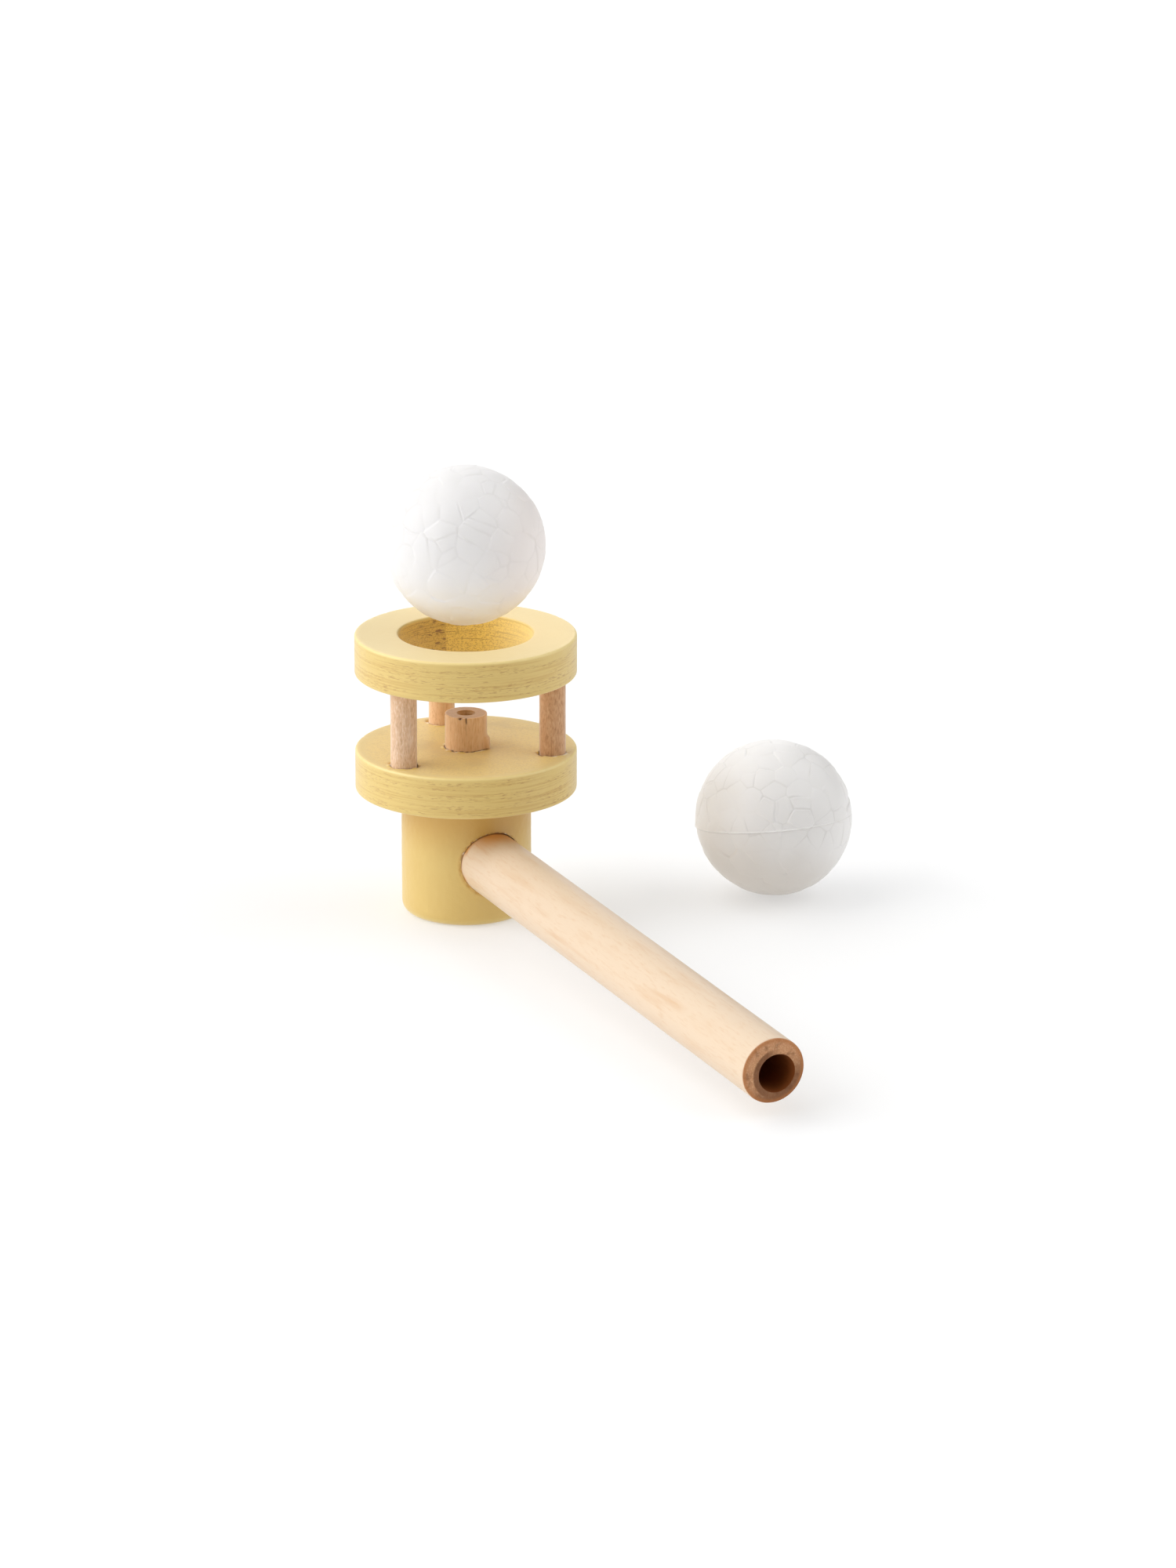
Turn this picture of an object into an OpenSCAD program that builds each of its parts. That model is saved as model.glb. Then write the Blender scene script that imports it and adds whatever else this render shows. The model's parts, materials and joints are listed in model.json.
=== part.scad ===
// Floating ball pipe toy: a wooden blow pipe whose air jet holds up a foam ball over a ring.
// The block stands on the table at z = 0 with its axis on Z, and the pipe points along +X.

/* [Stem block] */
// Diameter of the turned block
block_d = 24.5; // [22:0.5:30]
// Height of the block, from the table to the lower disc
block_h = 24; // [22:0.5:32]
// Rounding of the block's bottom edge
block_edge_r = 2.1; // [0.5:0.1:3]

/* [Lower disc and cup ring] */
// Outer diameter of the lower disc and of the ring over it, which come from the same bar
plate_d = 41.7; // [40:0.1:56]
// Thickness of the lower disc
disc_t = 7.9; // [6:0.1:12]
// Thickness of the ring that the ball drops onto
ring_t = 7.7; // [6:0.1:12]
// Diameter of the hole in the ring
ring_hole_d = 25.2; // [20:0.1:27]

/* [Rounded edges] */
// Rounding of the outer edges of the disc and the ring
disc_edge_r = 0.5; // [0.2:0.1:1.5]
// Rounding of the edges of the ring's hole
hole_edge_r = 0.4; // [0.2:0.1:0.8]

/* [Posts] */
// Diameter of the three posts
post_d = 5; // [3:0.1:6]
// Clear height between the disc and the ring
post_gap = 14.5; // [10:0.5:30]
// Depth of the blind holes that the posts are glued in
post_set = 5; // [3:0.5:5.5]
// Distance from the edge of the plates in to the middle of a post
post_inset = 4.2; // [3.2:0.1:5]
// Angle from the pipe round to the first post
post_turn = 51.6; // [0:0.1:119]

/* [Nozzle] */
// Outer diameter of the nozzle
nozzle_d = 8; // [6:0.1:10]
// Diameter of the jet hole
nozzle_bore_d = 3.4; // [2:0.1:5]
// Height of the nozzle above the disc
nozzle_stand = 6.6; // [3:0.1:9]

/* [Blow pipe] */
// Outer diameter of the pipe
pipe_d = 11.9; // [10:0.1:13]
// Diameter of the pipe's bore
pipe_bore_d = 7; // [4:0.1:7.5]
// How far the bore has wandered to the side of the pipe's axis
bore_drift_y = 0.7; // [-0.9:0.1:0.9]
// How far the bore has wandered above the pipe's axis
bore_drift_z = -0.6; // [-0.9:0.1:0.9]
// Distance along the pipe from the block's axis to the mouth
pipe_reach = 127; // [80:1:140]
// Height of the pipe's axis where it crosses the block's axis
pipe_axis_h = 12.5; // [10:0.1:14]
// Angle that the pipe droops towards its mouth
pipe_droop = 1.7; // [0:0.1:2.5]
// Rounding of the outer edge at the mouth
mouth_edge_r = 0.4; // [0.2:0.1:1]

/* [Air way] */
// Diameter of the two drilled passages that join the pipe to the nozzle
air_d = 5; // [3:0.1:6]
// Wood left between the passages and the end of the pipe's socket
socket_wall = 1.5; // [0.5:0.1:3]
// Wood left between the pipe's socket and the nozzle's seat
seat_wall = 1; // [0.5:0.1:2]

/* [Balls] */
// Diameter of both foam balls
ball_d = 30; // [28:0.5:36]
// Height of the floating ball above its seat on the ring
float_h = 8.8; // [2:0.1:40]
// Place of the spare ball along the pipe
spare_x = 16.6; // [-40:0.1:100]
// Place of the spare ball to the side of the pipe
spare_y = 56.5; // [45:0.1:90]

/* [Fits] */
// Gap all round a dowel in its glued hole
glue_gap = 0.05; // [0.02:0.01:0.15]
// Gap all round the pipe in its socket
pipe_gap = 0.1; // [0.05:0.01:0.3]
// Gap between the ball and the ring's edge when the ball is down
seat_gap = 0.15; // [0.1:0.05:0.5]

/* [Hidden] */
$fn = 96;

// Levels above the table
disc_top = block_h + disc_t;
ring_bottom = disc_top + post_gap;
ring_top = ring_bottom + ring_t;
nozzle_top = disc_top + nozzle_stand;
nozzle_end = pipe_axis_h + pipe_d / 2 + pipe_gap + seat_wall;

// Radius of the circle that the posts stand on
post_circle_r = plate_d / 2 - post_inset;

// The inner end of the pipe, measured along the pipe from the block's axis
pipe_stop = air_d / 2 + socket_wall;

// The ball's centre when it lies on the rounded edge of the ring's hole, and as it floats
rim_r = ring_hole_d / 2 + hole_edge_r;
seat_reach = ball_d / 2 + hole_edge_r + seat_gap;
seat_z = ring_top - hole_edge_r + sqrt(seat_reach * seat_reach - rim_r * rim_r);
float_z = seat_z + float_h;

// A cut runs this far past the face that it opens
past = 1;

paint = "#e8cf94";
dowel_wood = "#cfa880";
nozzle_wood = "#c59260";
pipe_wood = "#f5dec0";
foam = "#efedea";

// Half section of a turned bar of radius r1 and height h, with its bottom edge rounded by r
module bar_profile(r1, h, r) {
    square([r1 - r, h]);
    translate([0, r])
        square([r1, h - r]);
    translate([r1 - r, r])
        circle(r = r);
}

// Half section of a turned plate from r0 out to r1, with both of its outer edges rounded by r
module plate_profile(r0, r1, h, r) {
    translate([r0, 0])
        square([r1 - r - r0, h]);
    translate([r0, r])
        square([r1 - r0, h - 2 * r]);
    for (z = [r, h - r])
        translate([r1 - r, z])
            circle(r = r);
}

// Half section of the inner part of a ring, from its hole of radius r0 out to r1, with the edges
// of the hole rounded by r
module hole_profile(r0, r1, h, r) {
    translate([r0 + r, 0])
        square([r1 - r - r0, h]);
    translate([r0, r])
        square([r1 - r0, h - 2 * r]);
    for (z = [r, h - r])
        translate([r0 + r, z])
            circle(r = r);
}

// Turns its children onto the pipe's axis, so that their +Z runs out of the mouth
module along_pipe() {
    translate([0, 0, pipe_axis_h])
        rotate([0, 90 + pipe_droop, 0])
            children();
}

// Places its children at the foot of post i
module at_post(i) {
    rotate([0, 0, post_turn + 120 * i])
        translate([post_circle_r, 0, disc_top - post_set])
            children();
}

// The three blind holes of one plate, as far as they reach into it
module post_holes(bottom, depth) {
    for (i = [0 : 2])
        rotate([0, 0, post_turn + 120 * i])
            translate([post_circle_r, 0, bottom])
                cylinder(d = post_d + 2 * glue_gap, h = depth);
}

module stem_block() {
    color(paint)
        difference() {
            rotate_extrude()
                bar_profile(block_d / 2, block_h, block_edge_r);
            along_pipe() {
                translate([0, 0, pipe_stop])
                    cylinder(d = pipe_d + 2 * pipe_gap, h = block_d);
                cylinder(d = air_d, h = pipe_stop + past);
            }
            translate([0, 0, pipe_axis_h - air_d / 2])
                cylinder(d = air_d, h = nozzle_end - pipe_axis_h + air_d / 2 + past);
            translate([0, 0, nozzle_end])
                cylinder(d = nozzle_d + 2 * glue_gap, h = block_h - nozzle_end + past);
        }
}

module lower_disc() {
    color(paint)
        difference() {
            translate([0, 0, block_h])
                rotate_extrude()
                    plate_profile(0, plate_d / 2, disc_t, disc_edge_r);
            translate([0, 0, block_h - past])
                cylinder(d = nozzle_d + 2 * glue_gap, h = disc_t + 2 * past);
            post_holes(disc_top - post_set, post_set + past);
        }
}

module cup_ring() {
    ring_mid = (plate_d + ring_hole_d) / 4;
    color(paint)
        difference() {
            translate([0, 0, ring_bottom])
                rotate_extrude()
                    union() {
                        plate_profile(ring_mid, plate_d / 2, ring_t, disc_edge_r);
                        hole_profile(ring_hole_d / 2, ring_mid, ring_t, hole_edge_r);
                    }
            post_holes(ring_bottom - past, post_set + past);
        }
}

module post(i) {
    color(dowel_wood)
        at_post(i)
            cylinder(d = post_d, h = post_gap + 2 * post_set);
}

module nozzle() {
    color(nozzle_wood)
        translate([0, 0, nozzle_end])
            difference() {
                cylinder(d = nozzle_d, h = nozzle_top - nozzle_end);
                translate([0, 0, -past])
                    cylinder(d = nozzle_bore_d, h = nozzle_top - nozzle_end + 2 * past);
            }
}

module blow_pipe() {
    color(pipe_wood)
        along_pipe()
            difference() {
                translate([0, 0, pipe_reach])
                    mirror([0, 0, 1])
                        rotate_extrude()
                            bar_profile(pipe_d / 2, pipe_reach - pipe_stop, mouth_edge_r);
                translate([-bore_drift_z, bore_drift_y, pipe_stop - past])
                    cylinder(d = pipe_bore_d, h = pipe_reach - pipe_stop + 2 * past);
            }
}

module floating_ball() {
    color(foam)
        translate([0, 0, float_z])
            sphere(d = ball_d);
}

module spare_ball() {
    color(foam)
        translate([spare_x, spare_y, ball_d / 2])
            sphere(d = ball_d);
}

stem_block();
lower_disc();
cup_ring();
post(0);  // post_side
post(1);  // post_back
post(2);  // post_front
nozzle();
blow_pipe();
floating_ball();
spare_ball();
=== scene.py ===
"""Looks of the floating ball pipe toy: turned and painted plates, bare dowels and two moulded foam balls.

Each sub-assembly is a class that holds its sizes and builds and dresses its own pieces. Lengths are in
millimetres, and MM turns them into the metres of the frame, the shapes and the scene. The toy stands on
z = 0, its plates turn about Z, and the pipe points along +X.
"""
import json
import logging
import math
import random
from dataclasses import dataclass, field
from enum import Enum
from typing import Callable, NamedTuple

import bmesh
import bpy
import numpy as np
from mathutils import Matrix, Vector, noise


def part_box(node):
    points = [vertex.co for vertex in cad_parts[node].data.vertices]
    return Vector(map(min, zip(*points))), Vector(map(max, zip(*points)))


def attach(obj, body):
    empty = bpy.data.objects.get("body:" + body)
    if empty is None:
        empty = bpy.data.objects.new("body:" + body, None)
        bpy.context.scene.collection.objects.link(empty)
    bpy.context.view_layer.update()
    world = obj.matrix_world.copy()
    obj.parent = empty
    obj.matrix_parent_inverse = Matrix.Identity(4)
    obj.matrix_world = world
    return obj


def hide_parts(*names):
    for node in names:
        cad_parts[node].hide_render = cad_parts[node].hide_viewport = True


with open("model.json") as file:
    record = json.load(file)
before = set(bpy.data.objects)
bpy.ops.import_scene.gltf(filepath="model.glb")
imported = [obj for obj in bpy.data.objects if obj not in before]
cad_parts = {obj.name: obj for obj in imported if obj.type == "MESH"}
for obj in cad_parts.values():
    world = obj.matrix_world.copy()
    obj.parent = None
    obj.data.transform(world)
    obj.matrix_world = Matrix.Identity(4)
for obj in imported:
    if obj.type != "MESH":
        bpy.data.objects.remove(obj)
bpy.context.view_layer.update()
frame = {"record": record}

# One millimetre in metres
MM = 0.001
# Points closer than this are one point
MERGE = 0.001
# Edges that turn by more than this stay crisp
SHARP = math.radians(40)
# Steps of a rounded corner
CORNER_STEPS = 6
# A turned shape is spun in this many equal parts
TURN_PARTS = 10
# How far the turned walls stay inside their nominal radius, so that their grain never passes it
SKIN = 0.05
# Points this close to a flat face lie on it
ON_FACE = 0.05
# How far a cutter runs past the face that it opens
PAST = 1.0

# Sockets of a mix node that blends colours
FACTOR, FIRST, SECOND, BLEND = 0, 6, 7, 2
# The floating ball, by the name of its object
NETTED = "floating_foam_ball"

Socket = bpy.types.NodeSocket
Shape = bmesh.types.BMesh
Array = np.ndarray
Way = tuple[float, float, float]
# One size for all three axes, or one each
Size = float | Way
# Where each point goes, and the values that the finish reads there
Surface = tuple[Array, dict[str, Array]]

log = logging.getLogger("pipe_toy")


class Body(Enum):
    """The moving bodies that pieces ride on."""

    TOY = "toy"
    FLOATING = "floating_ball"
    SPARE = "spare_ball"


class Slot(Enum):
    """The finishes that the record names."""

    PAINT = "painted_wood"
    POST = "post_wood"
    NOZZLE = "nozzle_wood"
    PIPE = "pipe_wood"
    FOAM = "foam"


class Corner(NamedTuple):
    """A corner of a node's box."""

    x: float
    y: float
    z: float


def box(node: str) -> tuple[Corner, Corner]:
    """Returns the low and the high corner of a node of the frame."""
    low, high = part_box(node)
    return Corner(*(value / MM for value in low)), Corner(*(value / MM for value in high))


def linear(code: str) -> tuple[float, float, float, float]:
    """Turns an sRGB hex colour, such as "#E8CF94", into linear red, green, blue and an alpha of 1."""
    parts = [int(code[k:k + 2], 16) / 255 for k in (1, 3, 5)]
    red, green, blue = [c / 12.92 if c <= 0.04045 else ((c + 0.055) / 1.055) ** 2.4 for c in parts]
    return red, green, blue, 1.0


def smooth(low: float, high: float, value: Array | float) -> Array | float:
    """Returns 0 before low and 1 after high, with a smooth rise between them."""
    t = np.clip((value - low) / (high - low), 0.0, 1.0)
    return t * t * (3 - 2 * t)


def hump(away: Array, width: float) -> Array:
    """Returns 1 where away is 0, falling off softly on both sides over a width."""
    return np.exp(-(away / width) ** 2)


def ripple(points: Array, size: Size, shift: float, only: Array | None = None) -> Array:
    """Returns smooth noise from about -1 to 1 at each point.

    Args:
        points: One point in each row.
        size: Size of one wave.
        shift: Moves the pattern, so that two uses of it differ.
        only: Where the noise is wanted. It is 0 elsewhere.

    Returns:
        One value for each point.
    """
    wanted = np.ones(len(points), dtype=bool) if only is None else only
    placed = points[wanted] / np.array(size) + np.array((shift, -shift, shift))
    values = np.zeros(len(points))
    values[wanted] = [noise.noise(place) for place in placed.tolist()]
    return values


def from_axis(points: Array) -> Array:
    """Returns how far each point lies from the Z axis."""
    return np.hypot(points[:, 0], points[:, 1])


def move_out(points: Array, out: Array) -> Array:
    """Returns the points, each moved away from the Z axis by its own distance."""
    scale = 1 + out / np.maximum(from_axis(points), MERGE)
    return points * np.stack((scale, scale, np.ones(len(points))), axis=1)


def unit(points: Array) -> Array:
    """Returns each row at a length of 1."""
    return points / np.linalg.norm(points, axis=1, keepdims=True)


def facing(ways: Array, side: Way) -> Array:
    """Returns how far each unit direction turns to a side, from -1 to 1."""
    return ways @ np.array(Vector(side).normalized())


@dataclass
class Brush:
    """Adds the nodes of one material. Its patterns lie on the piece itself, at their real size."""

    tree: bpy.types.NodeTree

    def add(self, kind: str, inputs: dict | None = None, **settings) -> bpy.types.Node:
        """Adds a node with its settings and links.

        Args:
            kind: The node's class without its "ShaderNode".
            inputs: A value, or the socket that feeds it, for each input's name or number.
            settings: The node's own properties.

        Returns:
            The new node.
        """
        node = self.tree.nodes.new("ShaderNode" + kind)
        for name, value in settings.items():
            setattr(node, name, value)
        for key, value in (inputs or {}).items():
            if isinstance(value, Socket):
                self.tree.links.new(value, node.inputs[key])
            else:
                node.inputs[key].default_value = value
        return node

    def pattern(self, size: Size, detail: float = 2.0, shift: float = 0.0, turn: float = 0.0) -> Socket:
        """Adds noise.

        Args:
            size: Size of one wave.
            detail: How many finer layers of the noise are added.
            shift: Moves the pattern, so that two uses of it differ.
            turn: Angle that the piece's own X axis droops, which the pattern follows.

        Returns:
            The socket with the noise, from 0 to 1.
        """
        place = self.add("TexCoord").outputs["Object"]
        if turn:
            place = self.add("Mapping", {"Vector": place, "Rotation": (0.0, -turn, 0.0)}).outputs[0]
        scale = (1 / (np.ones(3) * size * MM)).tolist()
        place = self.add("Mapping", {"Vector": place, "Scale": scale, "Location": (shift,) * 3}).outputs[0]
        return self.add("TexNoise", {"Vector": place, "Scale": 1.0, "Detail": detail}).outputs[0]

    def mask(self, value: Socket, low: float = 0.0, high: float = 1.0, top: float = 1.0) -> Socket:
        """Turns a value into a mask that rises smoothly from 0 at low to top at high."""
        return self.add("MapRange", {"Value": value, "From Min": low, "From Max": high, "To Max": top},
                        interpolation_type="SMOOTHSTEP").outputs[0]

    def patches(self, size: Size, low: float, high: float, top: float = 1.0, detail: float = 2.0,
                shift: float = 0.0) -> Socket:
        """Adds a pattern and turns it into a mask. It takes what pattern() and mask() take."""
        return self.mask(self.pattern(size, detail, shift), low, high, top)

    def where(self, first: Socket, *others: Socket) -> Socket:
        """Returns the mask that holds where all of the masks do."""
        for other in others:
            first = self.add("Math", {0: first, 1: other}, operation="MULTIPLY").outputs[0]
        return first

    def own(self, name: str) -> Socket:
        """Reads one of the piece's own values, which its mesh carries at each point."""
        return self.add("Attribute", attribute_name=name).outputs["Fac"]

    def layers(self, base: str, *over: tuple[str | Socket, Socket]) -> Socket:
        """Lays colours over a base, each one as far as its mask says, and returns the blend."""
        colour = linear(base)
        for top, amount in over:
            top = linear(top) if isinstance(top, str) else top
            blend = self.add("Mix", {FACTOR: amount, FIRST: colour, SECOND: top}, data_type="RGBA")
            colour = blend.outputs[BLEND]
        return colour

    def spread(self, value: Socket, low: float, high: float) -> Socket:
        """Turns a value from 0 to 1 into one from low to high."""
        return self.add("MapRange", {"Value": value, "To Min": low, "To Max": high}).outputs[0]

    def bump(self, height: Socket, depth: float) -> Socket:
        """Returns the surface's direction under a relief of the given depth."""
        return self.add("Bump", {"Height": height, "Distance": depth * MM, "Strength": 1.0}).outputs[0]


@dataclass(frozen=True)
class Finish:
    """What every finish shares: a name, a gloss, and what lay() adds to them."""

    name: str
    roughness: float
    ior: float

    def material(self) -> bpy.types.Material:
        """Builds the material, which is one shader with the inputs that lay() returns."""
        made = bpy.data.materials.new(self.name)
        made.use_nodes = True
        made.node_tree.nodes.clear()
        brush = Brush(made.node_tree)
        inputs = {"Roughness": self.roughness, "IOR": self.ior} | self.lay(brush)
        brush.add("OutputMaterial", {"Surface": brush.add("BsdfPrincipled", inputs).outputs[0]})
        return made

    def lay(self, brush: Brush) -> dict:
        """Lays the colours and the relief, and returns the shader's inputs. Each finish has its own."""
        raise NotImplementedError


@dataclass(frozen=True)
class SatinPaint(Finish):
    """Water-based wood paint, one thin coat on turned beech.

    It is satin and opaque, and its fine chalk gives it a white bloom at grazing angles. It sinks into the
    edge grain, where the pores stay open as short level dashes and the growth layers show as streaks. The
    ring's hole is bored through two glued boards, and its wall takes a deeper coat.
    """

    coat: str = "#DABD6C"
    streak: str = "#CBA553"
    pore: str = "#A0621E"
    deep: str = "#F2CE5C"
    scratch: str = "#B0822C"
    burn: str = "#7A4A12"
    # The amber also paints shade on the disc's top and on the block's wall, the pale yellow after it paints
    # highlights, and the glue's white also paints a sheen on the ring's top
    amber: str = "#C7952F"
    worn: str = "#F6E09A"
    glue: str = "#F4EAD2"
    bare: str = "#8A5426"
    bloom: str = "#FFF6DC"

    def lay(self, brush: Brush) -> dict:
        """Lays the coat, its streaks and pores on the walls, the glue and bare wood at the joints, and
        painted shade, highlights and sheen.
        """
        # Growth layers show as streaks 10 to 20 mm long and about 0.3 mm high
        growth = brush.patches((16, 16, 0.34), 0.45, 0.68, 0.75)
        # Pores of beech, 0.4 to 1 mm long and about 0.15 mm high, which gather in level rows
        dashes = brush.patches((1.3, 1.3, 0.15), 0.54, 0.64, 0.5, detail=1.0)
        rows = brush.patches((14, 14, 0.6), 0.42, 0.6, detail=1.0, shift=3.0)
        colour = brush.layers(
            self.coat,
            (self.streak, brush.patches(7, 0.35, 0.75, 0.12)),
            (self.streak, brush.where(growth, brush.own("wall"))),
            (self.pore, brush.where(dashes, rows, brush.own("pores"))),
            (self.bored_wall(brush), brush.own("cavity")),
            *((getattr(self, name), brush.own(name)) for name in ("worn", "amber", "bare", "glue")))
        # The coat's fine pimples are about half a millimetre apart
        return {"Base Color": colour, "Specular IOR Level": 0.9,
                "Roughness": brush.spread(brush.pattern(2), self.roughness - 0.06, self.roughness + 0.06),
                "Sheen Weight": 0.6, "Sheen Tint": linear(self.bloom), "Sheen Roughness": 0.42,
                "Normal": brush.bump(brush.pattern((0.6, 0.6, 0.5)), 0.03)}

    def bored_wall(self, brush: Brush) -> Socket:
        """Returns the colour of a bored wall: a deeper coat, dots, level scratches and a burnt patch."""
        # Open pores are dots of about 0.3 mm here, and the cutter's level scratches are 0.2 mm high
        dots = brush.patches((0.34, 0.34, 0.2), 0.48, 0.64, 0.6, detail=1.0, shift=6.0)
        lines = brush.patches((9, 9, 0.2), 0.52, 0.7, 0.7, shift=8.0)
        dashes = brush.patches((1.1, 1.1, 0.26), 0.5, 0.6, 0.9, shift=9.0)
        rows = brush.patches((6, 6, 0.9), 0.4, 0.55, detail=1.0, shift=12.0)
        return brush.layers(self.deep, (self.scratch, dots), (self.scratch, lines),
                            (self.scratch, brush.mask(brush.own("board"), top=0.38)),
                            (self.burn, brush.where(dashes, rows, brush.own("burnt"))))


@dataclass(frozen=True)
class RawDowel(Finish):
    """Bare dowel, milled along the grain and lightly sanded.

    Beech and alder show many short fibres and flecks, darker and lighter, all along. It has no gloss.
    """

    roughness: float = 0.8
    ior: float = 1.5
    wood: str = "#CB9C72"
    fleck: str = "#9A6A40"
    light: str = "#E0BE94"
    end: str = "#B48A66"
    char: str = "#4A220C"
    # Flecks of beech are about 0.25 mm wide and 1 mm long
    fibre: float = 0.28
    length: float = 0.9
    strength: float = 0.5

    def lay(self, brush: Brush) -> dict:
        """Lays the wood with its flecks, its end grain, the dirt in its cracks and painted shade in the
        nozzle's bore.
        """
        flecks = brush.pattern((self.fibre, self.fibre, self.length))
        streaks = brush.pattern((0.6, 0.6, 7), shift=5.0)
        # End grain is cut across, so it shows dots of about 0.25 mm
        cut = brush.layers(self.end, (self.fleck, brush.patches(0.25, 0.45, 0.7, 0.5, shift=2.0)))
        colour = brush.layers(
            self.wood,
            (self.light, brush.mask(flecks, 0.5, 0.75, self.strength)),
            (self.fleck, brush.mask(flecks, 0.5, 0.28, self.strength)),
            (self.fleck, brush.mask(streaks, 0.5, 0.8, 0.5 * self.strength)),
            (self.light, brush.mask(streaks, 0.5, 0.2, 0.5 * self.strength)),
            (cut, brush.own("end")),
            (self.char, brush.own("crack")))
        return {"Base Color": colour, "Sheen Weight": 1.0, "Sheen Roughness": 0.4,
                "Normal": brush.bump(flecks, 0.025)}


@dataclass(frozen=True)
class WaxedPipe(Finish):
    """Maple dowel, bored and waxed.

    It is pale and very smooth, with faint peach streaks along the pipe. The sawn mouth shows brown end grain
    in rings with painted shade on it, and the bore is painted dark as painted shade.
    """

    wood: str = "#DAC4AA"
    streak: str = "#CDA57C"
    end: str = "#C48F67"
    pale: str = "#D6AA82"
    ring: str = "#6E452B"
    edge: str = "#B47444"
    # The bore's painted shade
    burnt: str = "#8A4A18"
    glued: str = "#CF8F45"
    droop: float = 0.0
    # Roughness where the saw or the drill has cut across the grain
    cut_roughness: float = 0.9

    def lay(self, brush: Brush) -> dict:
        """Lays the long streaks, the ringed mouth, the glue line and painted shade near the block, and the
        bore's painted shade.
        """
        long_grain = brush.pattern((20, 1.5, 1.5), 3.0, turn=self.droop)
        short_grain = brush.pattern((2.6, 0.4, 0.4), shift=4.0, turn=self.droop)
        clouds = brush.patches((12, 5, 5), 0.35, 0.7, detail=1.0, shift=2.0)
        colour = brush.layers(
            self.wood,
            (self.streak, brush.where(brush.mask(long_grain, 0.48, 0.7, 0.45), clouds)),
            (self.streak, brush.mask(short_grain, 0.5, 0.75, 0.3)),
            (self.glued, brush.own("glued")),
            (self.mouth(brush), brush.own("end")),
            (self.burnt, brush.own("bore")))
        return {"Base Color": colour, "Specular IOR Level": 0.3,
                "Roughness": brush.spread(brush.own("rough"), self.roughness, self.cut_roughness),
                "Normal": brush.bump(short_grain, 0.006)}

    def mouth(self, brush: Brush) -> Socket:
        """Returns the colour of the sawn mouth: end grain, a dark inner ring with painted shade, and a warm
        outer edge.
        """
        # Cut fibres, about 0.3 mm across, and patches of 1.5 mm where the saw has burnt or torn them
        return brush.layers(
            self.end,
            (self.pale, brush.patches((0.5, 0.28, 0.28), 0.48, 0.66, 0.75)),
            (self.ring, brush.patches((2, 1.4, 1.4), 0.48, 0.75, 0.55, shift=7.0)),
            (self.ring, brush.mask(brush.own("ring"), top=0.8)),
            (self.edge, brush.mask(brush.own("edge"), top=0.6)))


@dataclass(frozen=True)
class MouldedFoam(Finish):
    """Expanded polystyrene, steam moulded.

    Its beads meet in polygons with fine grey seams under a thin satin skin, and it lets a little light in.
    """

    roughness: float = 0.42
    ior: float = 1.45
    bead: str = "#F3F1F0"
    seam: str = "#BDB9B3"
    warm: str = "#E2CFC4"
    # How strongly the stains and the seams show
    blush: float = 0.35
    lines: float = 0.1

    def lay(self, brush: Brush) -> dict:
        """Lays the beads, their seams, the faint warm stains and the painted shadow under the flash."""
        colour = brush.layers(self.bead, (self.warm, brush.mask(brush.own("stain"), top=self.blush)),
                              (self.seam, brush.mask(brush.own("seam"), top=self.lines)))
        # Wrinkles of the skin are about 0.6 mm apart
        return {"Base Color": colour, "Subsurface Weight": 0.25, "Subsurface Radius": (1.0, 1.0, 0.9),
                "Subsurface Scale": 1.5 * MM, "Normal": brush.bump(brush.pattern(0.6), 0.008)}


@dataclass(frozen=True)
class OpalSheet(Finish):
    """Opal acrylic sheet lit from below: the plain white floor, with no pattern of its own."""

    white: str = "#C4C4C4"
    glow: float = 0.41

    def lay(self, brush: Brush) -> dict:
        """Sets the plain white and its glow, and takes the gloss away."""
        return {"Base Color": linear(self.white), "Specular IOR Level": 0.0,
                "Emission Color": linear("#FFFFFF"), "Emission Strength": self.glow}


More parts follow.
